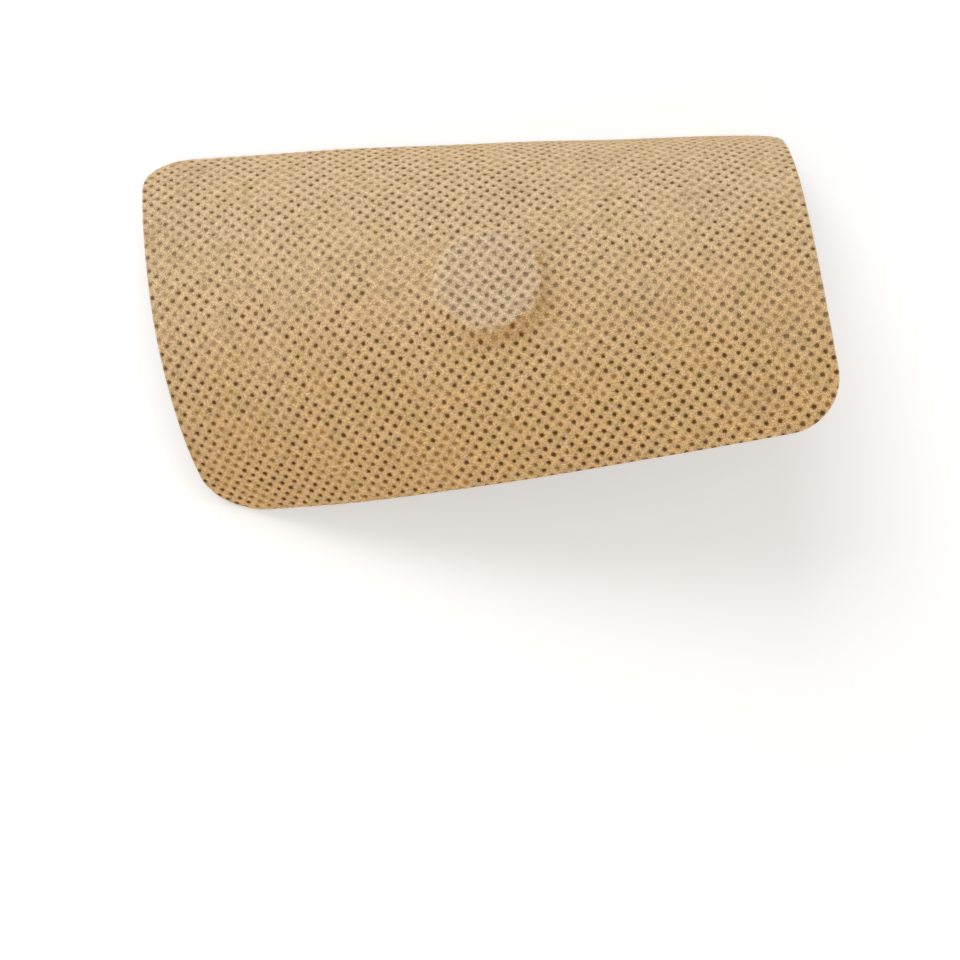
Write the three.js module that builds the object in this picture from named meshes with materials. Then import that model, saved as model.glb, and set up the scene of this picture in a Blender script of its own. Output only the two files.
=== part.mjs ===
// Far infrared patch: a dotted cloth plaster with a round disc under its middle.
// Millimetres, +Z up. It keeps the bend of the limb it is worn on, and lies arch up on three corners.
// The origin is on the floor under the middle of its box, and +X runs along the patch's length.

import * as THREE from "three";

// Patch as cut flat, measured on the cloth's outer face
const patchLength = 120;
const patchWidth = 80;
const cornerRadius = 10;

// Layers, from the cloth down to the skin
const fabricThickness = 0.5;
const adhesiveThickness = 0.8;
const bondGap = 0.3;

// Dots pressed into the cloth: the centre distance of the pits, and how deep they go
const dotPitchAlong = 2.48;
const dotPitchAcross = 2.62;
const dotDepth = 0.18;

// Disc held between cloth and adhesive, its centre measured from the patch's centre
const discDiameter = 18;
const discThickness = 2;
const discEdgeRound = 0.3;
const discAlong = 2;
const discAcross = -3;
const clothRise = 1.2;

// Around the disc the layers stay level a little past its edge, then run back to the bend
const levelMargin = 1.2;
const tentWidth = 4;

// Bend: the cloth lies on a round taper, its length turned by the lay angle from the limb's line
const bendRadius = 43.3;
const taperAngle = THREE.MathUtils.degToRad(5.5);
const layAngle = THREE.MathUtils.degToRad(13.6);

// The adhesive is smooth, so its mesh is coarser than the cloth's
const adhesiveCell = 3.6;

// The corners it rests on, as the signs of their places along and across the patch
const restingCorners = [
  [-1, -1],
  [-1, 1],
  [1, 1],
];
const restingPasses = 12;

const fabricMaterial = new THREE.MeshStandardMaterial({ color: 0xccab7f, roughness: 0.92, metalness: 0 });
const adhesiveMaterial = new THREE.MeshStandardMaterial({ color: 0x3a271a, roughness: 0.45, metalness: 0 });
const discMaterial = new THREE.MeshStandardMaterial({ color: 0x6b6a68, roughness: 0.6, metalness: 0 });

// Point of the bent patch that lies a depth under the cloth's outer face, and the outward normal there
function bend(along, across, depth) {
  const apexDistance = bendRadius / Math.sin(taperAngle);
  const x = apexDistance + along * Math.cos(layAngle) - across * Math.sin(layAngle);
  const y = along * Math.sin(layAngle) + across * Math.cos(layAngle);
  const reach = Math.hypot(x, y);
  const radius = reach * Math.sin(taperAngle);
  const turn = Math.atan2(y, x) / Math.sin(taperAngle);
  const side = Math.cos(taperAngle);
  const normal = new THREE.Vector3(-Math.sin(taperAngle), side * Math.sin(turn), side * Math.cos(turn));
  const point = new THREE.Vector3(
    (reach - apexDistance) * Math.cos(taperAngle),
    radius * Math.sin(turn),
    radius * Math.cos(turn),
  );
  return { point: point.addScaledVector(normal, -depth), normal };
}

// Heights of the level faces around the disc, above the bend at the disc's centre
const discSeat = bend(discAlong, discAcross, 0);
const clothTop = clothRise;
const clothUnder = clothTop - fabricThickness;
const discTop = clothUnder - bondGap;
const discUnder = discTop - discThickness;
const adhesiveTop = discUnder - bondGap;
const adhesiveUnder = adhesiveTop - adhesiveThickness;

// Point on a layer's face: on the bend away from the disc, level over and under it
function facePoint(along, across, depth, levelHeight) {
  const { point } = bend(along, across, depth);
  const distance = Math.hypot(along - discAlong, across - discAcross);
  const levelReach = discDiameter / 2 + levelMargin;
  const pull = 1 - THREE.MathUtils.smoothstep(distance, levelReach, levelReach + tentWidth);
  const height = point.clone().sub(discSeat.point).dot(discSeat.normal);
  return point.addScaledVector(discSeat.normal, pull * (levelHeight - height));
}

// Place in the flat patch of a point given as shares of its length and width, with the corners rounded
function flatPlace(shareAlong, shareAcross) {
  const along = (shareAlong - 0.5) * patchLength;
  const across = (shareAcross - 0.5) * patchWidth;
  const cornerAlong = Math.abs(along) - (patchLength / 2 - cornerRadius);
  const cornerAcross = Math.abs(across) - (patchWidth / 2 - cornerRadius);
  if (cornerAlong <= 0 || cornerAcross <= 0) return [along, across];
  const squeeze = Math.max(cornerAlong, cornerAcross) / Math.hypot(cornerAlong, cornerAcross);
  return [
    Math.sign(along) * (patchLength / 2 - cornerRadius + cornerAlong * squeeze),
    Math.sign(across) * (patchWidth / 2 - cornerRadius + cornerAcross * squeeze),
  ];
}

// Closed sheet between an upper and a lower face; with a dot depth, every cell of the upper face is a pit
function sheetGeometry({ columns, rows, upper, lower, pitDepth }) {
  const positions = [];
  const triangles = [];
  const addPoint = (face, column, row) => {
    const [along, across] = flatPlace(column / columns, row / rows);
    const { x, y, z } = facePoint(along, across, face.depth, face.levelHeight);
    positions.push(x, y, z);
    return positions.length / 3 - 1;
  };
  const addGrid = (face) => {
    const grid = [];
    for (let row = 0; row <= rows; row++) {
      grid.push([]);
      for (let column = 0; column <= columns; column++) grid[row].push(addPoint(face, column, row));
    }
    return grid;
  };
  const top = addGrid(upper);
  const under = addGrid(lower);
  const pit = { depth: upper.depth + pitDepth, levelHeight: upper.levelHeight - pitDepth };
  for (let row = 0; row < rows; row++) {
    for (let column = 0; column < columns; column++) {
      const cell = [
        top[row][column],
        top[row][column + 1],
        top[row + 1][column + 1],
        top[row + 1][column],
      ];
      if (pitDepth > 0) {
        const middle = addPoint(pit, column + 0.5, row + 0.5);
        cell.forEach((corner, side) => triangles.push(corner, cell[(side + 1) % 4], middle));
      } else {
        triangles.push(cell[0], cell[1], cell[2], cell[0], cell[2], cell[3]);
      }
      const low = [
        under[row][column],
        under[row][column + 1],
        under[row + 1][column + 1],
        under[row + 1][column],
      ];
      triangles.push(low[0], low[2], low[1], low[0], low[3], low[2]);
    }
  }
  const rim = rimPlaces(columns, rows);
  rim.forEach(([column, row], index) => {
    const [nextColumn, nextRow] = rim[(index + 1) % rim.length];
    const a = top[row][column];
    const b = top[nextRow][nextColumn];
    const c = under[nextRow][nextColumn];
    const d = under[row][column];
    triangles.push(a, d, c, a, c, b);
  });
  const geometry = new THREE.BufferGeometry();
  geometry.setAttribute("position", new THREE.Float32BufferAttribute(positions, 3));
  geometry.setIndex(triangles);
  geometry.computeVertexNormals();
  return geometry;
}

// Grid places around a sheet's rim, anticlockwise from above
function rimPlaces(columns, rows) {
  const places = [];
  for (let column = 0; column < columns; column++) places.push([column, 0]);
  for (let row = 0; row < rows; row++) places.push([columns, row]);
  for (let column = columns; column > 0; column--) places.push([column, rows]);
  for (let row = rows; row > 0; row--) places.push([0, row]);
  return places;
}

// Cloth backing: pits in its outer face, smooth underneath
function backingFabric() {
  const geometry = sheetGeometry({
    columns: Math.round(patchLength / dotPitchAlong),
    rows: Math.round(patchWidth / dotPitchAcross),
    upper: { depth: 0, levelHeight: clothTop },
    lower: { depth: fabricThickness, levelHeight: clothUnder },
    pitDepth: dotDepth,
  });
  const mesh = new THREE.Mesh(geometry, fabricMaterial);
  mesh.name = "backing_fabric";
  return mesh;
}

// Adhesive layer: its underside is the face that sticks to the skin, level under the disc
const adhesiveColumns = Math.round(patchLength / adhesiveCell);
const adhesiveRows = Math.round(patchWidth / adhesiveCell);
const adhesiveDepth = fabricThickness + bondGap;
const skinFace = { depth: adhesiveDepth + adhesiveThickness, levelHeight: adhesiveUnder };

function adhesiveLayer() {
  const geometry = sheetGeometry({
    columns: adhesiveColumns,
    rows: adhesiveRows,
    upper: { depth: adhesiveDepth, levelHeight: adhesiveTop },
    lower: skinFace,
    pitDepth: 0,
  });
  const mesh = new THREE.Mesh(geometry, adhesiveMaterial);
  mesh.name = "adhesive_layer";
  return mesh;
}

// Disc: a plain round pellet with its edges eased, level with the faces that hold it
function infraredDisc() {
  const radius = discDiameter / 2;
  const half = discThickness / 2;
  const profile = [
    new THREE.Vector2(0, -half),
    new THREE.Vector2(radius - discEdgeRound, -half),
    new THREE.Vector2(radius, -half + discEdgeRound),
    new THREE.Vector2(radius, half - discEdgeRound),
    new THREE.Vector2(radius - discEdgeRound, half),
    new THREE.Vector2(0, half),
  ];
  const mesh = new THREE.Mesh(new THREE.LatheGeometry(profile, 48), discMaterial);
  mesh.name = "infrared_disc";
  mesh.quaternion.setFromUnitVectors(new THREE.Vector3(0, 1, 0), discSeat.normal);
  mesh.position.copy(discSeat.point).addScaledVector(discSeat.normal, (discTop + discUnder) / 2);
  return mesh;
}

// Upward direction at rest: square to the plane under the lowest rim point of each resting corner
function restingUp() {
  const rim = rimPlaces(adhesiveColumns, adhesiveRows).map(([column, row]) => {
    const [along, across] = flatPlace(column / adhesiveColumns, row / adhesiveRows);
    return { along, across, point: facePoint(along, across, skinFace.depth, skinFace.levelHeight) };
  });
  let up = new THREE.Vector3(0, 0, 1);
  for (let pass = 0; pass < restingPasses; pass++) {
    const feet = restingCorners.map(([signAlong, signAcross]) => {
      const corner = rim.filter(({ along, across }) => along * signAlong > 0 && across * signAcross > 0);
      const lower = (a, b) => (b.point.dot(up) < a.point.dot(up) ? b : a);
      return corner.reduce(lower).point;
    });
    const edge = feet[1].clone().sub(feet[0]);
    up = feet[2].clone().sub(feet[0]).cross(edge).normalize();
  }
  return up;
}

// Turns the bent patch to its rest, with its length along +X
function restingTurn() {
  const up = restingUp();
  const length = bend(1, 0, 0).point.sub(bend(-1, 0, 0).point);
  const along = length.addScaledVector(up, -length.dot(up)).normalize();
  const across = up.clone().cross(along);
  const axes = new THREE.Matrix4().makeBasis(along, across, up);
  return new THREE.Quaternion().setFromRotationMatrix(axes).invert();
}

const bentPatch = new THREE.Group();
bentPatch.add(backingFabric(), adhesiveLayer(), infraredDisc());
bentPatch.quaternion.copy(restingTurn());

const patch = new THREE.Group();
patch.add(bentPatch);
patch.updateMatrixWorld(true);

const box = new THREE.Box3().setFromObject(patch, true);
const middle = box.getCenter(new THREE.Vector3());
bentPatch.position.set(-middle.x, -middle.y, -box.min.z);

export default patch;
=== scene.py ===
import math

import bpy
import numpy as np
from mathutils import Matrix, Vector
from mathutils.geometry import delaunay_2d_cdt


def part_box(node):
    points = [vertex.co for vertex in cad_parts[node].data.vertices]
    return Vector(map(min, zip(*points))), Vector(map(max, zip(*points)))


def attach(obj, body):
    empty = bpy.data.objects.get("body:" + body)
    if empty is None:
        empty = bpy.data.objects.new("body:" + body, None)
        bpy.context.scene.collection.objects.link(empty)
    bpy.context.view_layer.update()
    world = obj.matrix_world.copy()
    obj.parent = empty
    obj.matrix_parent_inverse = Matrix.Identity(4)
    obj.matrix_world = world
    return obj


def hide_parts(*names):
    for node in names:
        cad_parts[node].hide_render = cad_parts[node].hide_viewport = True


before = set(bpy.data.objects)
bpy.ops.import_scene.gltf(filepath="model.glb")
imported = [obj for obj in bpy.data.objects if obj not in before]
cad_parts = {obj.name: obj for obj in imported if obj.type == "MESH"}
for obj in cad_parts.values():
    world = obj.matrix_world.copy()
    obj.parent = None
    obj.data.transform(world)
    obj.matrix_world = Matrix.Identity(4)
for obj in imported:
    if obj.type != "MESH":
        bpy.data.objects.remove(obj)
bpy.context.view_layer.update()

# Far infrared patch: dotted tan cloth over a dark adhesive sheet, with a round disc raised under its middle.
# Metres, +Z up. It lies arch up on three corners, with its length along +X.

MM = 0.001

# Flat patch and its layers
LENGTH = 120 * MM
WIDTH = 80 * MM
CORNER = 10 * MM
CLOTH_THICKNESS = 0.5 * MM
STACK_THICKNESS = 1.6 * MM
ADHESIVE_INSET = 0.15 * MM
GLUE_LINE = 0.02 * MM

# Bend: a round taper with the patch laid askew on it
BEND_RADIUS = 43.3 * MM
TAPER = math.radians(5.5)
LAY = math.radians(13.6)

# Disc, its place from the patch's centre, and the heights of the level faces above the bend there
DISC_DIAMETER = 18 * MM
DISC_ALONG = 2 * MM
DISC_ACROSS = -3 * MM
CLOTH_RISE = 1.2 * MM
DISC_UNDER = -1.6 * MM
DISC_GAP = 0.3 * MM
ADHESIVE_UNDER = -2.7 * MM

# How far past the disc's edge the cloth and the adhesive stay level, and how soon they are back on the bend
CLOTH_LEVEL = 0.15 * MM
CLOTH_TENT = (1.9 * MM, 3.2 * MM)
ADHESIVE_LEVEL = 1.2 * MM
ADHESIVE_TENT = 4 * MM

# Resting: the solid adhesive sheet's rim is stepped as in the frame, and three of its corners touch the floor
RIM_CELL = 3.6 * MM
RESTING_CORNERS = ((-1, -1), (-1, 1), (1, 1))
RESTING_PASSES = 12

# Dots in the cloth: a lattice with every second place used, like the black fields of a chessboard
STEP_ALONG = 1.24 * MM
STEP_ACROSS = 1.31 * MM
FIRST_DOT = (0.0, 0.6 * MM)
DOT_FLOOR = 0.24 * MM
DOT_RIM = 0.44 * MM
DOT_DEPTH = 0.16 * MM
DOT_DISH = 0.03 * MM
PILLOW = 0.07 * MM

# Cloth beside the disc: the direction in which its wall is least steep, and how the dots' relief fades on it
SLACK_WAY = math.radians(-35)
WALL_FLATTENING = 3.4

# Slow waves of the cloth: their length, the length over which they bend and how much. They are higher near
# the cut edge, which is rounded off
WAVES_ALONG = (5.3 * MM, 11 * MM, 1.3)
WAVES_ACROSS = (4.1 * MM, 14 * MM, 1.7)
WAVE_HEIGHT = 0.02 * MM
EDGE_WAVE_HEIGHT = 0.05 * MM
EDGE_WAVE_REACH = 9 * MM
EDGE_DROP = 0.1 * MM
EDGE_ROUND = 0.3 * MM

# Spacing of the mesh points, and how far inside the cut edge they stay
CLOTH_RIM_STEP = 0.45 * MM
CLOTH_RIM_CLEAR = 0.12 * MM
FLOOR_POINTS = 6
RIM_POINTS = 9
CLOTH_UNDER_STEP = 2.4 * MM
CLOTH_UNDER_CLEAR = 1.2 * MM
ADHESIVE_RIM_STEP = 0.9 * MM
ADHESIVE_STEP = 1.6 * MM
ADHESIVE_CLEAR = 0.8 * MM
CORNER_STEPS = 6
FLAT_TOLERANCE = 1e-6

# Cloth colours as a display shows them, from 0 to 255. Pairs run from the near side (-Y) to the far side: the
# near side's warmer, darker colours are partly painted warm bounce light, and the far side's paler ones are
# partly painted sheen
GROUND = ((220, 182, 125), (226, 196, 153))
DARK_DOT = ((104, 66, 22), (122, 88, 48))
FAINT_DOT = ((176, 132, 74), (204, 174, 131))
DARK_DISC_DOT = (104, 80, 56)
FAINT_DISC_DOT = (152, 126, 98)
# Painted highlight: the pale colour of the dots' middles
HIGHLIGHT_DOT_COLOUR = (188, 163, 130)

# Colours of the other materials. Pairs run from darker to lighter
CUT_EDGE = ((186, 156, 110), (226, 206, 168))
ADHESIVE_MASS = ((58, 38, 25), (78, 54, 36))
ADHESIVE_SPECKS = (96, 72, 50)
PRESSED_MINERAL = ((96, 94, 90), (140, 137, 132))

# Tints laid over the cloth's ground: the colour, and how much of it shows at most
ROSY_DRIFT = ((221, 186, 146), 0.5)
OLIVE_DRIFT = ((200, 174, 120), 0.4)
OVER_DISC = ((212, 189, 164), 0.56)
# Painted highlight along the disc's rim on one side
RIM_HIGHLIGHT_TINT = ((238, 216, 184), 0.5)
# Painted shade: brown in the crease at the foot of the cloth's tent round the disc
CREASE_SHADE_TINT = ((178, 130, 72), 0.75)
# Painted shade: brown on the slack slope below the disc
SLACK_SHADE_TINT = ((200, 156, 98), 0.4)
WORN = ((150, 128, 100), 0.26)
CUT_RIM = ((232, 204, 166), 0.5)

# Where those tints lie, in flat millimetres, as all the materials' places are. Past the disc's edge they come
# up over a REACH's first two distances and go over the next two, and they keep to one SIDE of the disc: a
# direction, and how far out that way they start and are full
DISC_FADE = (-0.8, 0.8)
DISC_WANDER = 2.0
# The rim's painted highlight
RIM_HIGHLIGHT_REACH = (0.0, 0.7, 0.8, 1.7)
RIM_HIGHLIGHT_SIDE = ((-0.92, 0.4), (4.0, 8.5))
# The crease's painted shade
CREASE_REACH = (0.2, 0.8, 1.0, 1.9)
CREASE_SIDE = ((0.87, -0.5), (3.0, 8.0))
CREASE_PATCHES = (0.44, 0.56)
# The slack slope's painted shade
SLACK_REACH = (0.5, 2.0, 2.5, 8.0)
SLACK_SIDE = ((0.4, -0.92), (4.0, 9.0))
SLACK_PATCHES = (0.3, 0.55)
ROSY_PATCHES = (0.34, 0.66)
OLIVE_PATCHES = (0.5, 0.7)
CUT_RIM_REACH = 0.4

# The near side's colours give way to the far side's over this stretch, and the line between them wanders
SIDE_STRETCH = (-34.0, 14.0)
SIDE_WANDER = 30

# Handled and stained areas, as flat places and reaches in millimetres, and the wear along the cut edge
STAINS = (
    ((45, -32), 9),
    ((52, -22), 6),
    ((9, 17), 7),
    ((42, 8), 8),
    ((-56, 18), 9),
    ((-57, -8), 7),
    ((-50, 34), 10),
    ((24, 25), 7),
    ((30, -12), 7),
)
EDGE_WEAR = 0.55
EDGE_WEAR_REACH = 5.0
WEAR_PATCHES = (0.42, 0.62)

# Noise patterns of the cloth: how many to a millimetre, their detail and their roughness
GRAIN = (4.2, 1.0, 0.6)
CLUMPS = (1.7, 2.0, 0.6)
MOTTLE = (0.5, 2.0, 0.6)
DRIFT = (0.62, 2.0, 0.6)
WIDE_DRIFT = (0.27, 2.0, 0.5)
SLOW = (0.11, 2.0, 0.5)
SLOWEST = (0.07, 2.0, 0.5)
OUTLINE = (2.6, 3.0, 0.7)
WEAR = (0.42, 4.0, 0.7)
RIDGE_STRENGTH = (0.45, 2.0, 0.5)
DOT_CLUSTERS = (0.31, 1.0, 0.5)

# Dots as coloured: distances from the middle in millimetres over which they fade, and how they differ
DOT_FADE = (0.16, 0.5)
HALO_FADE = (0.3, 0.85)
DOT_SIZE_SPREAD = 0.1
DOT_OUTLINE_SPREAD = 0.5
NEAR_SIDE_GROWTH = 0.06
CLUSTER_WEIGHT = 2.6
SLOWEST_WEIGHT = 1.6
CHANCE_WEIGHT = 0.9
DARK_RANGE = (-0.3, 0.75)
DISC_DARK_SHARE = 0.9
DISC_FAINT_SHARE = 0.8

# Painted highlight on the dots: pale middles over the disc, and in a band that runs askew along the middle
# and wanders
PAINTED_HIGHLIGHT_SLOPE = 0.31
PAINTED_HIGHLIGHT_WANDER = 14
PAINTED_HIGHLIGHT_WIDTH = (4.0, 11.0)
PAINTED_HIGHLIGHT_SHARE = 0.5
DISC_HIGHLIGHT_SHARE = 0.6
HIGHLIGHT_MIDDLE_FADE = (0.02, 0.3)
HIGHLIGHT_RIM_LEVEL = 0.25

# Fibres: their directions in degrees, length and width in millimetres, and noise
SLANTING_FIBRES = (46, -46)
SQUARE_FIBRES = (5, -80)
FIBRE_SIZE = (1.5, 0.3)
FIBRE_NOISE = (1.0, 2.0, 0.6)
EDGE_FIBRE_WAY = 20
EDGE_FIBRE_SIZE = (0.5, 0.1)
EDGE_FIBRE_RANGE = (0.35, 0.7)

# How much each pattern changes the ground's brightness
GRAIN_WEIGHT = 2.0
CLUMP_WEIGHT = 0.9
MOTTLE_WEIGHT = 0.45
SLANTING_FIBRE_WEIGHT = 0.5
SQUARE_FIBRE_WEIGHT = 0.35
RIDGE_WEIGHT = 0.13
DISC_RIDGE_WEIGHT = 0.12
HALO_WEIGHT = 0.08
GROUND_BRIGHTNESS = 0.98

# Ridges between the rows of dots: how near the row's border they rise, and where either set is strong
RIDGE_RISE = (0.25, 0.5)
FIRST_RIDGES = (0.35, 0.62)
SECOND_RIDGES = (0.62, 0.4)
SECOND_RIDGE_WEIGHT = 0.7
RIDGE_BUMP_WEIGHT = 0.5

# Gloss and fine relief of the materials
CLOTH_ROUGHNESS = 0.85
DOT_ROUGHNESS = 0.4
DOT_GLOSS_RANGE = (0.3, 0.9)
CLOTH_SPECULAR = 0.12
CLOTH_SHEEN = 0.05
CLOTH_SHEEN_ROUGHNESS = 0.5
CLOTH_BUMP = 0.1 * MM
EDGE_ROUGHNESS = 0.9
EDGE_BUMP = 0.08 * MM
ADHESIVE_CLOUDS = (0.12, 4.0, 0.6)
ADHESIVE_CLOUD_RANGE = (0.35, 0.65)
ADHESIVE_GRAIN = (2.4, 3.0, 0.6)
ADHESIVE_SPECK_RANGE = (0.55, 0.75)
ADHESIVE_SPECK_SHARE = 0.4
ADHESIVE_GLOSS_RANGE = (0.3, 0.7)
ADHESIVE_ROUGHNESS = (0.42, 0.6)
ADHESIVE_SPECULAR = 0.3
ADHESIVE_BUMP = 0.05 * MM
MINERAL_GRAIN = (2500, 3.0, 0.6)
MINERAL_RANGE = (0.35, 0.65)
MINERAL_ROUGHNESS = 0.6
MINERAL_BUMP = 0.05 * MM

# Floor
FLOOR_SIZE = 6
FLOOR_SHADE = 0.9
FLOOR_ROUGHNESS = 0.9

# Lights: a wide softbox beyond the patch, a weak warm one before it, and the room
LAMP_AIM = (0, 0, 20 * MM)
KEY_PLACE = (-0.15, 0.66, 0.62)
KEY_SIZE = 0.7
KEY_POWER = 4.9
FILL_PLACE = (-0.25, -0.75, 0.45)
FILL_SIZE = 0.7
FILL_POWER = 3.2
FILL_COLOUR = (1.0, 0.86, 0.7)
ROOM_LIGHT = 0.36
ROOM_SHOWN = 0.72
FLOOR_LIFT = 0.35

# Camera: almost straight above, as far off and as long a lens as the picture's drawn-in lines ask
CAMERA_AIM = (-6.4 * MM, -34.8 * MM, 25 * MM)
CAMERA_DISTANCE = 485.5 * MM
CAMERA_AZIMUTH = math.radians(-21.44)
CAMERA_ELEVATION = math.radians(83.72)
CAMERA_ROLL = math.radians(12.47)
CAMERA_LENS = 102.1
CAMERA_SENSOR = 36.0
CAMERA_CLIP = 10 * MM


# Bent surface

def bend(along, across, depth):
    """Points of the bent patch at a depth under the cloth's outer face, and the outward normals there."""
    apex = BEND_RADIUS / math.sin(TAPER)
    x = apex + along * math.cos(LAY) - across * math.sin(LAY)
    y = along * math.sin(LAY) + across * math.cos(LAY)
    reach = np.hypot(x, y)
    radius = reach * math.sin(TAPER)
    turn = np.arctan2(y, x) / math.sin(TAPER)
    side = math.cos(TAPER)
    normals = np.stack([np.full_like(turn, -math.sin(TAPER)), side * np.sin(turn), side * np.cos(turn)], -1)
    points = np.stack([(reach - apex) * side, radius * np.sin(turn), radius * np.cos(turn)], -1)
    return points - normals * np.asarray(depth)[..., None], normals


def smooth_fall(distance, start, width):
    """1 before start, 0 past start + width, and a smooth step between."""
    share = np.clip((distance - start) / width, 0, 1)
    return 1 - share * share * (3 - 2 * share)


def face_points(along, across, depth, level_height, level_margin, tent_width):
    """Points of a layer's face: on the bend away from the disc, level over and under it."""
    points, _ = bend(along, across, depth)
    seat, axis = bend(np.array(DISC_ALONG), np.array(DISC_ACROSS), 0)
    distance = np.hypot(along - DISC_ALONG, across - DISC_ACROSS)
    pull = smooth_fall(distance, DISC_DIAMETER / 2 + level_margin, tent_width)
    height = (points - seat) @ axis
    return points + (pull * (level_height - height))[:, None] * axis


def rounded(along, across):
    """Draws the corners of a rectangular grid in to the rounded outline."""
    over_along = np.abs(along) - (LENGTH / 2 - CORNER)
    over_across = np.abs(across) - (WIDTH / 2 - CORNER)
    corner = (over_along > 0) & (over_across > 0)
    reach = np.where(corner, np.hypot(over_along, over_across), 1)
    squeeze = np.where(corner, np.maximum(over_along, over_across) / reach, 1)
    edge_along = np.sign(along) * (LENGTH / 2 - CORNER + over_along * squeeze)
    edge_across = np.sign(across) * (WIDTH / 2 - CORNER + over_across * squeeze)
    return np.where(corner, edge_along, along), np.where(corner, edge_across, across)


# Rest: the turn and shift that lay the bent patch on its three corners

def resting_up():
    """Upward direction at rest, in the bend's axes: square to the plane under the three lowest corners."""
    columns = round(LENGTH / RIM_CELL)
    rows = round(WIDTH / RIM_CELL)
    steps_along = np.linspace(-LENGTH / 2, LENGTH / 2, columns + 1)
    steps_across = np.linspace(-WIDTH / 2, WIDTH / 2, rows + 1)
    sides = [(steps_along, np.full(columns + 1, end)) for end in (-WIDTH / 2, WIDTH / 2)]
    sides += [(np.full(rows + 1, end), steps_across) for end in (-LENGTH / 2, LENGTH / 2)]
    along, across = rounded(*(np.concatenate(part) for part in zip(*sides)))
    points = face_points(along, across, STACK_THICKNESS, ADHESIVE_UNDER, ADHESIVE_LEVEL, ADHESIVE_TENT)
    up = np.array([0.0, 0.0, 1.0])
    for _ in range(RESTING_PASSES):
        feet = []
        for sign_along, sign_across in RESTING_CORNERS:
            corner = points[(along * sign_along > 0) & (across * sign_across > 0)]
            feet.append(corner[np.argmin(corner @ up)])
        up = np.cross(feet[2] - feet[0], feet[1] - feet[0])
        up /= np.linalg.norm(up)
    return up


def resting_place():
    """4 by 4 matrix from the bend's axes to the row frame, set by the frame's own disc."""
    up = resting_up()
    ends, _ = bend(np.array([-MM, MM]), np.zeros(2), 0)
    along = ends[1] - ends[0]
    along -= up * (along @ up)
    along /= np.linalg.norm(along)
    turn = Matrix((along, np.cross(up, along), up)).to_4x4()
    seat, axis = bend(np.array(DISC_ALONG), np.array(DISC_ACROSS), 0)
    disc_top = CLOTH_RISE - CLOTH_THICKNESS - DISC_GAP
    disc_middle = Vector(seat + axis * (disc_top + DISC_UNDER) / 2)
    low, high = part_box("infrared_disc")
    shift = (Vector(low) + Vector(high)) / 2 - turn @ disc_middle
    return Matrix.Translation(shift) @ turn


PLACE = resting_place()


# Flat outline and triangulation

def outline(inset, spacing):
    """Rounded rectangle as an anticlockwise loop of flat points."""
    half_length = LENGTH / 2 - CORNER
    half_width = WIDTH / 2 - CORNER
    radius = CORNER - inset
    arc_steps = max(CORNER_STEPS, round(radius * math.pi / 2 / spacing))
    corners = ((1, -1, -90), (1, 1, 0), (-1, 1, 90), (-1, -1, 180))
    loop = []
    for sign_along, sign_across, start in corners:
        middle = np.array([sign_along * half_length, sign_across * half_width])
        for step in range(arc_steps + 1):
            angle = math.radians(start + 90 * step / arc_steps)
            loop.append(middle + radius * np.array([math.cos(angle), math.sin(angle)]))
    points = []
    for here, there in zip(loop, loop[1:] + loop[:1]):
        pieces = max(1, round(np.linalg.norm(there - here) / spacing))
        points += [here + (there - here) * piece / pieces for piece in range(pieces)]
    return np.array(points)


def edge_distance(along, across):
    """Distance inwards from the rounded outline, below 0 outside it."""
    over_along = np.abs(along) - (LENGTH / 2 - CORNER)
    over_across = np.abs(across) - (WIDTH / 2 - CORNER)
    outside = np.hypot(np.maximum(over_along, 0), np.maximum(over_across, 0))
    inside = np.minimum(np.maximum(over_along, over_across), 0)
    return CORNER - outside - inside


def triangulate(loop, inner):
    """Triangles, anticlockwise, of the flat region inside loop that use the loop's and the inner points."""
    flat = [Vector(point) / MM for point in np.concatenate([loop, inner])]
    _, _, faces, sources_of_points, *_ = delaunay_2d_cdt(
        flat, [], [list(range(len(loop)))], 1, FLAT_TOLERANCE
    )
    origin = [sources[0] if sources else -1 for sources in sources_of_points]
    triangles = [[origin[corner] for corner in face] for face in faces]
    return [triangle for triangle in triangles if min(triangle) >= 0]


# Sheets

def sheet_object(name, loop, top, under, slots, place_top, place_under):
    """Closed sheet from a top and an underside that share one outline, bent by place_top and place_under."""
    top_flat = np.concatenate([loop, top])
    under_flat = np.concatenate([loop, under])
    points = np.concatenate([place_top(*top_flat.T), place_under(*under_flat.T)])
    flat = np.concatenate([top_flat, under_flat])
    faces = triangulate(loop, top)
    top_count = len(faces)
    offset = len(top_flat)
    faces += [[corner + offset for corner in reversed(face)] for face in triangulate(loop, under)]
    count = len(loop)
    for here in range(count):
        there = (here + 1) % count
        faces.append([here, here + offset, there + offset, there])
    mesh = bpy.data.meshes.new(name)
    mesh.from_pydata(points.tolist(), [], faces)
    mesh.transform(PLACE)
    store = mesh.attributes.new("flat", "FLOAT_VECTOR", "POINT")
    rim = edge_distance(*flat.T)
    store.data.foreach_set("vector", (np.column_stack([flat, rim]) / MM).ravel())
    mesh.polygons.foreach_set("use_smooth", [True] * len(faces))
    for material in slots:
        mesh.materials.append(material)
    indices = np.zeros(len(faces), dtype=np.int32)
    indices[top_count:] = len(slots) - 1
    mesh.polygons.foreach_set("material_index", indices)
    ring = set(range(count)) | set(range(offset, offset + count))
    for edge in mesh.edges:
        a, b = edge.vertices
        if a in ring and b in ring and abs(a - b) != offset:
            edge.use_edge_sharp = True
    mesh.validate()
    mesh.update()
    piece = bpy.data.objects.new(name, mesh)
    bpy.context.scene.collection.objects.link(piece)
    return piece


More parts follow.
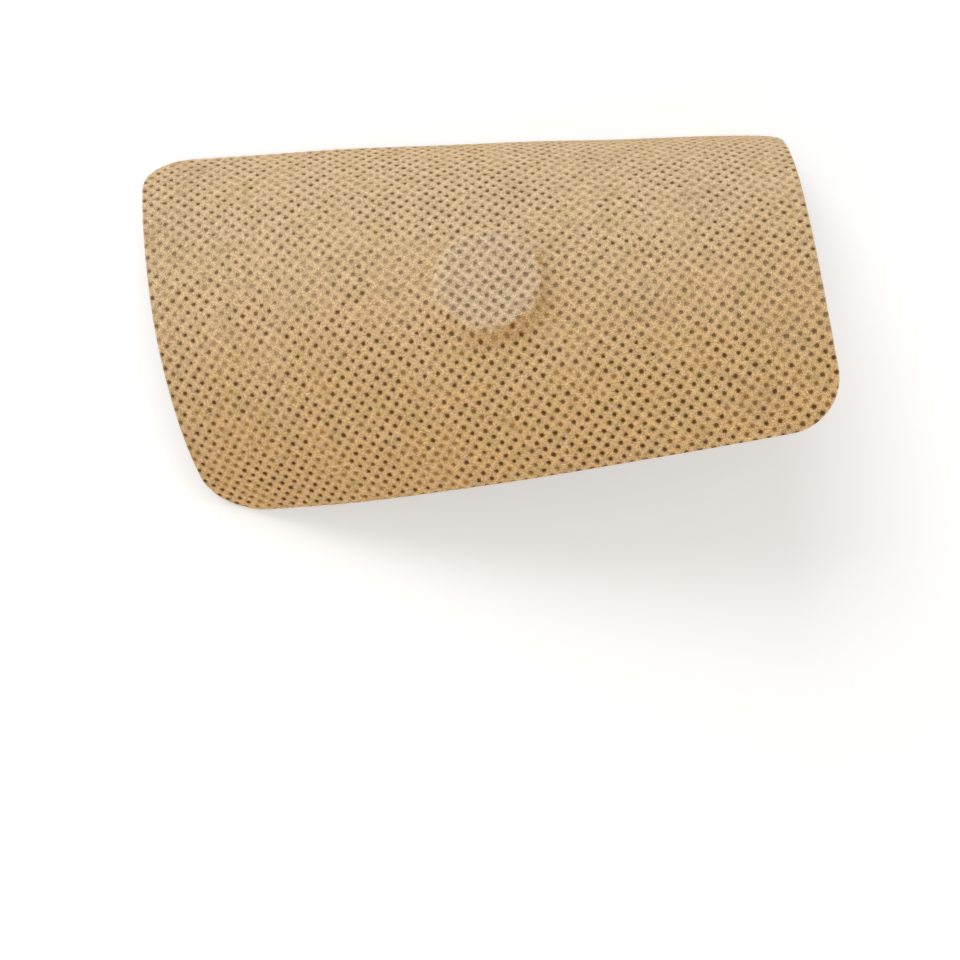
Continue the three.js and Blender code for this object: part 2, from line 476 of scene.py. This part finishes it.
def grid(spacing, margin):
    """Flat grid points that lie a margin or more inside the outline."""
    columns = np.arange(-LENGTH / 2 + spacing / 2, LENGTH / 2, spacing)
    rows = np.arange(-WIDTH / 2 + spacing / 2, WIDTH / 2, spacing)
    along, across = (part.ravel() for part in np.meshgrid(columns, rows))
    keep = edge_distance(along, across) > margin
    return np.column_stack([along[keep], across[keep]])


def lattice_points():
    """Flat places of the dots, and of the pillows between them."""
    columns = math.ceil(LENGTH / 2 / STEP_ALONG) + 2
    rows = math.ceil(WIDTH / 2 / STEP_ACROSS) + 2
    column, row = (part.ravel() for part in np.meshgrid(range(-columns, columns), range(-rows, rows)))
    places = np.column_stack([FIRST_DOT[0] + column * STEP_ALONG, FIRST_DOT[1] + row * STEP_ACROSS])
    is_dot = (column + row) % 2 == 0
    return places[is_dot], places[~is_dot]


def ring(places, radius, count):
    """A ring of flat points round each place."""
    angles = np.linspace(0, 2 * math.pi, count, endpoint=False)
    spokes = radius * np.column_stack([np.cos(angles), np.sin(angles)])
    return (places[:, None, :] + spokes[None]).reshape(-1, 2)


def relief(along, across):
    """Height of the cloth's face over its mean run: pressed dots with soft pillows between them."""
    u = (along - FIRST_DOT[0]) / STEP_ALONG
    v = (across - FIRST_DOT[1]) / STEP_ACROSS
    p, q = (u + v) / 2, (u - v) / 2
    near_p, near_q = p - np.round(p), q - np.round(q)
    distance = np.hypot((near_p + near_q) * STEP_ALONG, (near_p - near_q) * STEP_ACROSS)
    pit = smooth_fall(distance, DOT_FLOOR, DOT_RIM - DOT_FLOOR)
    dish = np.maximum(1 - (distance / DOT_FLOOR) ** 2, 0)
    pillow = -(np.cos(2 * math.pi * p) + np.cos(2 * math.pi * q)) / 2
    return pillow * PILLOW / 2 - pit * DOT_DEPTH - dish * DOT_DISH


def ripple(along, across):
    """Slow waves of a soft cloth, a little stronger near the cut edge."""
    near_edge = smooth_fall(edge_distance(along, across), 0, EDGE_WAVE_REACH)
    waves = 0
    for run, side, (length, side_length, bending) in (
        (along, across, WAVES_ALONG),
        (across, along, WAVES_ACROSS),
    ):
        waves = waves + np.sin(run / length + bending * np.sin(side / side_length))
    return waves * (WAVE_HEIGHT + EDGE_WAVE_HEIGHT * near_edge)


def cloth_top(along, across):
    """Outer face of the cloth, drawn smoother where it runs down beside the disc."""
    turn = np.arctan2(across - DISC_ACROSS, along - DISC_ALONG)
    slack = (1 + np.cos(turn - SLACK_WAY)) / 2
    tent = CLOTH_TENT[0] + (CLOTH_TENT[1] - CLOTH_TENT[0]) * slack
    distance = np.hypot(along - DISC_ALONG, across - DISC_ACROSS)
    fall = smooth_fall(distance, DISC_DIAMETER / 2 + CLOTH_LEVEL, tent)
    height = relief(along, across) * (1 - WALL_FLATTENING * fall * (1 - fall)) + ripple(along, across)
    height -= EDGE_DROP * smooth_fall(edge_distance(along, across), 0, EDGE_ROUND)
    return face_points(along, across, -height, CLOTH_RISE + height, CLOTH_LEVEL, tent)


def cloth_under(along, across):
    """Underside of the cloth, smooth where it is glued."""
    depth = np.full_like(along, CLOTH_THICKNESS)
    disc_side = CLOTH_RISE - CLOTH_THICKNESS
    return face_points(along, across, depth, disc_side, CLOTH_LEVEL, CLOTH_TENT[0])


def make_cloth():
    dots, pillows = lattice_points()
    rings = [ring(dots, DOT_FLOOR, FLOOR_POINTS), ring(dots, DOT_RIM, RIM_POINTS)]
    inner = np.concatenate([dots, *rings, pillows])
    inner = inner[edge_distance(*inner.T) > CLOTH_RIM_CLEAR]
    loop = outline(0, CLOTH_RIM_STEP)
    under = grid(CLOTH_UNDER_STEP, CLOTH_UNDER_CLEAR)
    slots = [cloth_material(), edge_material()]
    cloth = sheet_object("cloth", loop, inner, under, slots, cloth_top, cloth_under)
    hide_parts("backing_fabric")
    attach(cloth, "root")
    return cloth


def adhesive_top(along, across):
    depth = np.full_like(along, CLOTH_THICKNESS + GLUE_LINE)
    disc_side = DISC_UNDER - DISC_GAP
    return face_points(along, across, depth, disc_side, ADHESIVE_LEVEL, ADHESIVE_TENT)


def adhesive_under(along, across):
    depth = np.full_like(along, STACK_THICKNESS)
    return face_points(along, across, depth, ADHESIVE_UNDER, ADHESIVE_LEVEL, ADHESIVE_TENT)


def make_adhesive():
    loop = outline(ADHESIVE_INSET, ADHESIVE_RIM_STEP)
    inner = grid(ADHESIVE_STEP, ADHESIVE_INSET + ADHESIVE_CLEAR)
    slots = [adhesive_material()]
    adhesive = sheet_object("adhesive", loop, inner, inner, slots, adhesive_top, adhesive_under)
    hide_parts("adhesive_layer")
    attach(adhesive, "root")
    return adhesive


# Materials

class Value:
    """A number that a material's nodes work out. Arithmetic on it adds Math nodes."""

    def __init__(self, shader, socket):
        self.shader = shader
        self.socket = socket

    def __add__(self, other):
        return self.shader.math("ADD", self, other)

    def __sub__(self, other):
        return self.shader.math("SUBTRACT", self, other)

    def __rsub__(self, other):
        return self.shader.math("SUBTRACT", other, self)

    def __mul__(self, other):
        return self.shader.math("MULTIPLY", self, other)

    def __truediv__(self, other):
        return self.shader.math("DIVIDE", self, other)


class Shader:
    """A material's nodes, with short calls for the ones that are used over and over."""

    def __init__(self, name):
        self.material = bpy.data.materials.new(name)
        self.material.use_nodes = True
        self.nodes = self.material.node_tree.nodes
        self.links = self.material.node_tree.links
        self.surface = self.nodes["Principled BSDF"].inputs

    def put(self, socket, value):
        """Links a value or a node's output to a socket, or sets the socket to a plain number or colour."""
        if isinstance(value, Value):
            value = value.socket
        if isinstance(value, bpy.types.NodeSocket):
            self.links.new(value, socket)
        elif value is not None:
            socket.default_value = value

    def node(self, kind, values=(), **settings):
        node = self.nodes.new("ShaderNode" + kind)
        for name, setting in settings.items():
            setattr(node, name, setting)
        for socket, value in zip(node.inputs, values):
            self.put(socket, value)
        return node

    def math(self, operation, *values):
        return Value(self, self.node("Math", values, operation=operation).outputs[0])

    def ramp(self, value, start, end, low=0.0, high=1.0):
        """low before start, high past end, and a smooth step between."""
        node = self.node("MapRange", (value, start, end, low, high), interpolation_type="SMOOTHSTEP")
        return Value(self, node.outputs[0])

    def mix(self, share, a, b):
        node = self.node("Mix", data_type="RGBA")
        for index, value in ((0, share), (6, a), (7, b)):
            self.put(node.inputs[index], value)
        return node.outputs[2]

    def band(self, value, start, full, fade, end):
        """Rises from 0 at start to 1 at full, and falls back to 0 from fade to end."""
        return self.ramp(value, start, full) * self.ramp(value, fade, end, 1.0, 0.0)

    def between(self, share, shades):
        """The first of two display colours where share is 0, the second where it is 1."""
        return self.mix(share, colour(*shades[0]), colour(*shades[1]))

    def tint(self, ground, cover, tint):
        """Lays a tint over the ground where cover is up."""
        shade, share = tint
        return self.mix(cover * share, ground, colour(*shade))

    def scale(self, shade, factor):
        """A colour made lighter or darker by a factor."""
        node = self.node("VectorMath", operation="SCALE")
        self.put(node.inputs[0], shade)
        self.put(node.inputs["Scale"], factor)
        return node.outputs[0]

    def vector(self, x, y, z=0.0):
        return self.node("CombineXYZ", (x, y, z)).outputs[0]

    def length(self, x, y):
        node = self.node("VectorMath", (self.vector(x, y),), operation="LENGTH")
        return Value(self, node.outputs["Value"])

    def noise(self, vector, scale, detail, roughness):
        node = self.node("TexNoise")
        names = ("Vector", "Scale", "Detail", "Roughness")
        for name, value in zip(names, (vector, scale, detail, roughness)):
            self.put(node.inputs[name], value)
        return Value(self, node.outputs[0])

    def chance(self, vector):
        """A random number from 0 to 1 for each place."""
        return Value(self, self.node("TexWhiteNoise", (vector,), noise_dimensions="3D").outputs[0])

    def bump(self, height, distance):
        node = self.node("Bump")
        for name, value in (("Height", height), ("Distance", distance), ("Strength", 1.0)):
            self.put(node.inputs[name], value)
        return node.outputs[0]

    def flat(self):
        """Flat places in millimetres: the vector, along, across, and the distance from the cut edge."""
        vector = self.node("Attribute", attribute_name="flat").outputs["Vector"]
        parts = self.node("SeparateXYZ", (vector,)).outputs
        return (vector, *(Value(self, part) for part in parts))


def colour(red, green, blue):
    """Linear colour from 0 to 255 display values."""
    linear = [((value / 255 + 0.055) / 1.055) ** 2.4 for value in (red, green, blue)]
    return (*linear, 1.0)


def streaks(shader, along, across, degrees, size):
    """Noise drawn out along one direction, as fibres lie, and different for each direction."""
    length, width = size
    cosine, sine = math.cos(math.radians(degrees)), math.sin(math.radians(degrees))
    run = along * cosine + across * sine
    side = across * cosine - along * sine
    return shader.noise(shader.vector(run / length, side / width, degrees), *FIBRE_NOISE)


def dot_lattice(shader, along, across):
    """The nearest dot's whole numbers, the distance from its middle, and the ridges between the dots."""
    u = (along - FIRST_DOT[0] / MM) / (STEP_ALONG / MM)
    v = (across - FIRST_DOT[1] / MM) / (STEP_ACROSS / MM)
    p, q = (u + v) * 0.5, (u - v) * 0.5
    whole_p, whole_q = shader.math("ROUND", p), shader.math("ROUND", q)
    part_p, part_q = p - whole_p, q - whole_q
    distance = shader.length((part_p + part_q) * (STEP_ALONG / MM), (part_p - part_q) * (STEP_ACROSS / MM))
    ridges = [shader.ramp(shader.math("ABSOLUTE", part), *RIDGE_RISE) for part in (part_p, part_q)]
    return whole_p, whole_q, distance, ridges


def stain_marks(shader, along, across, rim, grain):
    """How much the cloth is greyed by wear: at a few places and near its cut edge."""
    marks = shader.ramp(rim, 0.0, EDGE_WEAR_REACH, EDGE_WEAR, 0.0)
    for place, reach in STAINS:
        distance = shader.length(along - place[0], across - place[1])
        marks = shader.math("MAXIMUM", marks, shader.ramp(distance, 0.0, reach, 1.0, 0.0))
    return marks * shader.ramp(grain, *WEAR_PATCHES)


def dot_darkness(shader, flat, dot_seed):
    """How dark each dot is, from 0 to 1: dark ones come in clusters."""
    cluster = (shader.noise(dot_seed, *DOT_CLUSTERS) - 0.5) * CLUSTER_WEIGHT
    patchy = (shader.noise(flat, *SLOWEST) - 0.5) * SLOWEST_WEIGHT
    return shader.ramp(cluster + patchy + shader.chance(dot_seed) * CHANCE_WEIGHT, *DARK_RANGE)


def beside_disc(shader, from_disc, past_edge, reach, side):
    """Cover of a tint that lies past the disc's edge, on one side of it."""
    (way_along, way_across), stretch = side
    outward = from_disc[0] * way_along + from_disc[1] * way_across
    return shader.band(past_edge, *reach) * shader.ramp(outward, *stretch)


def dot_film(shader, side, on_disc, darkness, highlit_dots, distance):
    """Colour of the dots: a film over the dark sheet, greyer over the disc, with a painted highlight that
    pales the middle.
    """
    dark = shader.tint(shader.between(side, DARK_DOT), on_disc, (DARK_DISC_DOT, DISC_DARK_SHARE))
    faint = shader.tint(shader.between(side, FAINT_DOT), on_disc, (FAINT_DISC_DOT, DISC_FAINT_SHARE))
    film = shader.mix(darkness, faint, dark)
    middle = shader.ramp(distance, *HIGHLIGHT_MIDDLE_FADE, 1.0, HIGHLIGHT_RIM_LEVEL)
    return shader.mix(highlit_dots * middle, film, colour(*HIGHLIGHT_DOT_COLOUR))


def cloth_material():
    shader = Shader("tan_cloth")
    flat, along, across, rim = shader.flat()
    whole_p, whole_q, distance, ridges = dot_lattice(shader, along, across)
    grain, clumps, mottle = (shader.noise(flat, *pattern) for pattern in (GRAIN, CLUMPS, MOTTLE))
    slow = shader.noise(flat, *SLOW)
    side = shader.ramp(across + (slow - 0.5) * SIDE_WANDER, *SIDE_STRETCH)

    # Dots differ in size and outline, and are wider on the near side
    dot_seed = shader.vector(whole_p, whole_q, 1.0)
    size = (shader.chance(shader.vector(whole_p, whole_q, 2.0)) - 0.5) * DOT_SIZE_SPREAD
    wobble = (shader.noise(flat, *OUTLINE) - 0.5) * DOT_OUTLINE_SPREAD
    distance = distance + size + wobble + side * NEAR_SIDE_GROWTH - NEAR_SIDE_GROWTH
    dot = shader.ramp(distance, *DOT_FADE, 1.0, 0.0)
    halo = shader.ramp(distance, *HALO_FADE, 1.0, 0.0)

    # Ground: more golden on the near side, partly painted warm bounce light, and paler on the far side,
    # partly painted sheen, with slow drifts of tone
    ground = shader.between(side, GROUND)
    ground = shader.tint(ground, shader.ramp(shader.noise(flat, *DRIFT), *ROSY_PATCHES), ROSY_DRIFT)
    ground = shader.tint(ground, shader.ramp(shader.noise(flat, *WIDE_DRIFT), *OLIVE_PATCHES), OLIVE_DRIFT)

    # Disc: greyer over it, with a painted highlight along its rim on one side, and painted brown shade in the
    # crease and on the slack slope on the other
    from_disc = (along - DISC_ALONG / MM, across - DISC_ACROSS / MM)
    past_edge = shader.length(*from_disc) + (mottle - 0.5) * DISC_WANDER - DISC_DIAMETER / 2 / MM
    on_disc = shader.ramp(past_edge, *DISC_FADE, 1.0, 0.0)
    rim_highlight = beside_disc(shader, from_disc, past_edge, RIM_HIGHLIGHT_REACH, RIM_HIGHLIGHT_SIDE)
    crease_shade = beside_disc(shader, from_disc, past_edge, CREASE_REACH, CREASE_SIDE)
    slack = beside_disc(shader, from_disc, past_edge, SLACK_REACH, SLACK_SIDE)
    ground = shader.tint(ground, on_disc, OVER_DISC)
    ground = shader.tint(ground, rim_highlight, RIM_HIGHLIGHT_TINT)
    ground = shader.tint(ground, crease_shade * shader.ramp(mottle, *CREASE_PATCHES), CREASE_SHADE_TINT)
    ground = shader.tint(ground, slack * shader.ramp(slow, *SLACK_PATCHES), SLACK_SHADE_TINT)

    # Wear, and the lighter cut edge
    worn = stain_marks(shader, along, across, rim, shader.noise(flat, *WEAR))
    ground = shader.tint(ground, worn, WORN)
    ground = shader.tint(ground, shader.ramp(rim, 0.0, CUT_RIM_REACH, 1.0, 0.0), CUT_RIM)

    # Fine structure: random fibres, and ridges that run between the rows of dots
    slanting = [streaks(shader, along, across, degrees, FIBRE_SIZE) for degrees in SLANTING_FIBRES]
    square = [streaks(shader, along, across, degrees, FIBRE_SIZE) for degrees in SQUARE_FIBRES]
    weave = (slanting[0] + slanting[1] - 1.0) * SLANTING_FIBRE_WEIGHT
    weave = weave + (square[0] + square[1] - 1.0) * SQUARE_FIBRE_WEIGHT
    strength = shader.noise(flat, *RIDGE_STRENGTH)
    ridge = ridges[0] * shader.ramp(strength, *FIRST_RIDGES)
    ridge = ridge + ridges[1] * shader.ramp(strength, *SECOND_RIDGES) * SECOND_RIDGE_WEIGHT
    brightness = (grain - 0.5) * GRAIN_WEIGHT + (clumps - 0.5) * CLUMP_WEIGHT
    brightness = brightness + (mottle - 0.5) * MOTTLE_WEIGHT
    brightness = brightness + weave + ridge * (on_disc * DISC_RIDGE_WEIGHT + RIDGE_WEIGHT)
    brightness = brightness - halo * HALO_WEIGHT + GROUND_BRIGHTNESS
    ground = shader.scale(ground, brightness)

    # Dots, with a painted highlight over the disc and in a band along the middle
    from_band = shader.math("ABSOLUTE", across + along * PAINTED_HIGHLIGHT_SLOPE + (slow - 0.5) * PAINTED_HIGHLIGHT_WANDER)
    in_band = shader.ramp(from_band, *PAINTED_HIGHLIGHT_WIDTH, 1.0, 0.0)
    highlit_dots = shader.math("MAXIMUM", on_disc * DISC_HIGHLIGHT_SHARE, in_band * PAINTED_HIGHLIGHT_SHARE)
    darkness = dot_darkness(shader, flat, dot_seed)
    film = dot_film(shader, side, on_disc, darkness, highlit_dots, distance)

    roughness = shader.ramp(dot, *DOT_GLOSS_RANGE, CLOTH_ROUGHNESS, DOT_ROUGHNESS)
    height = (grain + clumps + weave + ridge * RIDGE_BUMP_WEIGHT) * (1.0 - dot)
    shader.put(shader.surface["Base Color"], shader.mix(dot, ground, film))
    shader.put(shader.surface["Roughness"], roughness)
    shader.put(shader.surface["Normal"], shader.bump(height, CLOTH_BUMP))
    shader.surface["Specular IOR Level"].default_value = CLOTH_SPECULAR
    shader.surface["Sheen Weight"].default_value = CLOTH_SHEEN
    shader.surface["Sheen Roughness"].default_value = CLOTH_SHEEN_ROUGHNESS
    return shader.material


def edge_material():
    shader = Shader("cut_edge")
    _, along, across, _ = shader.flat()
    fibres = streaks(shader, along, across, EDGE_FIBRE_WAY, EDGE_FIBRE_SIZE)
    ground = shader.between(shader.ramp(fibres, *EDGE_FIBRE_RANGE), CUT_EDGE)
    shader.put(shader.surface["Base Color"], ground)
    shader.surface["Roughness"].default_value = EDGE_ROUGHNESS
    shader.put(shader.surface["Normal"], shader.bump(fibres, EDGE_BUMP))
    return shader.material


def adhesive_material():
    shader = Shader("adhesive_mass")
    flat = shader.flat()[0]
    clouds = shader.noise(flat, *ADHESIVE_CLOUDS)
    grain = shader.noise(flat, *ADHESIVE_GRAIN)
    ground = shader.between(shader.ramp(clouds, *ADHESIVE_CLOUD_RANGE), ADHESIVE_MASS)
    specks = shader.ramp(grain, *ADHESIVE_SPECK_RANGE)
    ground = shader.tint(ground, specks, (ADHESIVE_SPECKS, ADHESIVE_SPECK_SHARE))
    shader.put(shader.surface["Base Color"], ground)
    shader.put(shader.surface["Roughness"], shader.ramp(grain, *ADHESIVE_GLOSS_RANGE, *ADHESIVE_ROUGHNESS))
    shader.surface["Specular IOR Level"].default_value = ADHESIVE_SPECULAR
    shader.put(shader.surface["Normal"], shader.bump(grain, ADHESIVE_BUMP))
    return shader.material


def disc_material():
    shader = Shader("pressed_disc")
    place = shader.node("TexCoord").outputs["Object"]
    grain = shader.noise(place, *MINERAL_GRAIN)
    ground = shader.between(shader.ramp(grain, *MINERAL_RANGE), PRESSED_MINERAL)
    shader.put(shader.surface["Base Color"], ground)
    shader.surface["Roughness"].default_value = MINERAL_ROUGHNESS
    shader.put(shader.surface["Normal"], shader.bump(grain, MINERAL_BUMP))
    return shader.material


# Stage

def seen_directly(nodes, links):
    """1 for rays that show the background: straight from the camera, or by gloss or through glass."""
    rays = nodes.new("ShaderNodeLightPath").outputs
    shown = rays["Is Camera Ray"]
    for name in ("Is Glossy Ray", "Is Transmission Ray"):
        node = nodes.new("ShaderNodeMath")
        node.operation = "MAXIMUM"
        links.new(shown, node.inputs[0])
        links.new(rays[name], node.inputs[1])
        shown = node.outputs[0]
    return shown


def make_floor():
    bpy.ops.mesh.primitive_plane_add(size=FLOOR_SIZE, location=(0, 0, 0))
    floor = bpy.context.object
    floor.name = "floor"
    shader = Shader("pale_floor")
    shader.surface["Base Color"].default_value = (FLOOR_SHADE, FLOOR_SHADE, FLOOR_SHADE, 1)
    shader.surface["Roughness"].default_value = FLOOR_ROUGHNESS
    shader.surface["Emission Color"].default_value = (1, 1, 1, 1)
    shown = Value(shader, seen_directly(shader.nodes, shader.links))
    shader.put(shader.surface["Emission Strength"], shown * FLOOR_LIFT)
    floor.data.materials.append(shader.material)


def make_world():
    world = bpy.data.worlds.new("studio")
    world.use_nodes = True
    nodes, links = world.node_tree.nodes, world.node_tree.links
    strength = nodes.new("ShaderNodeMapRange")
    links.new(seen_directly(nodes, links), strength.inputs["Value"])
    strength.inputs["To Min"].default_value = ROOM_LIGHT
    strength.inputs["To Max"].default_value = ROOM_SHOWN
    background = nodes["Background"].inputs
    links.new(strength.outputs[0], background["Strength"])
    background["Color"].default_value = (1, 1, 1, 1)
    bpy.context.scene.world = world


def make_softbox(name, place, size, power, tint=(1.0, 1.0, 1.0)):
    """Square lamp that points at the patch."""
    light = bpy.data.lights.new(name, "AREA")
    light.shape = "SQUARE"
    light.size = size
    light.energy = power
    light.color = tint
    lamp = bpy.data.objects.new(name, light)
    lamp.location = place
    aim = Vector(LAMP_AIM) - Vector(place)
    lamp.rotation_euler = aim.to_track_quat("-Z", "Y").to_euler()
    bpy.context.scene.collection.objects.link(lamp)


def make_camera():
    data = bpy.data.cameras.new("camera")
    data.lens = CAMERA_LENS
    data.sensor_width = CAMERA_SENSOR
    data.sensor_fit = "HORIZONTAL"
    data.clip_start = CAMERA_CLIP
    camera = bpy.data.objects.new("camera", data)
    turn = Matrix.Rotation(CAMERA_AZIMUTH, 4, "Z")
    turn = turn @ Matrix.Rotation(math.pi / 2 - CAMERA_ELEVATION, 4, "X")
    turn = turn @ Matrix.Rotation(CAMERA_ROLL, 4, "Z")
    step_back = Matrix.Translation((0, 0, CAMERA_DISTANCE))
    camera.matrix_world = Matrix.Translation(CAMERA_AIM) @ turn @ step_back
    bpy.context.scene.collection.objects.link(camera)
    bpy.context.scene.camera = camera
    return camera


# Scene

scene = bpy.context.scene
scene.view_settings.view_transform = "Standard"
camera = make_camera()
make_world()
make_floor()
make_softbox("key", KEY_PLACE, KEY_SIZE, KEY_POWER)
make_softbox("fill", FILL_PLACE, FILL_SIZE, FILL_POWER, FILL_COLOUR)

cloth = make_cloth()
adhesive = make_adhesive()
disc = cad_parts["infrared_disc"]
disc.data.materials.clear()
disc.data.materials.append(disc_material())
